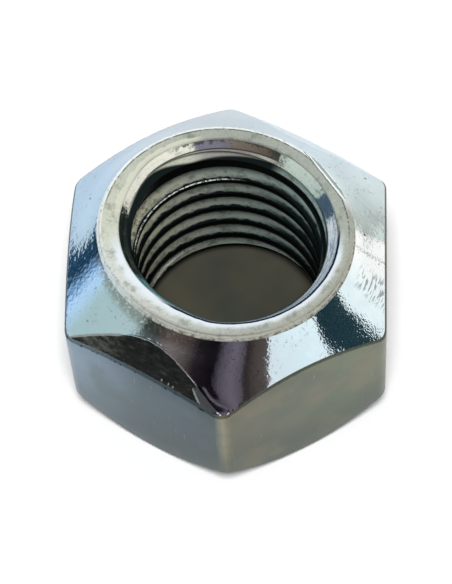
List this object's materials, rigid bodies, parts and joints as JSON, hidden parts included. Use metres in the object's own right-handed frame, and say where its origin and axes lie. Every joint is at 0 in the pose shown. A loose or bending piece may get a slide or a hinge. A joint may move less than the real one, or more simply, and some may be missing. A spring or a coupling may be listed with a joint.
{
  "type": "hexagon lock nut",
  "caption": "Hexagonal all-metal lock nut with a conical crown, a raised collar crimped slightly oval, and a coarse internal thread that grips its bolt.",
  "frame": {"origin": "centre of the bore in the plane of the bearing face, under the nut", "axes": "+Z along the bore, from the bearing face to the collar; one corner of the hexagon points to -Y, and two flats face +X and -X"},
  "size_m": [0.024, 0.0274, 0.0155],
  "materials": {
    "zinc_plated_steel": "bright zinc plating over machined steel, satin where the crown and the collar were turned"
  },
  "bodies": {
    "root": {"lock_nut": "zinc_plated_steel"}
  },
  "joints": []
}
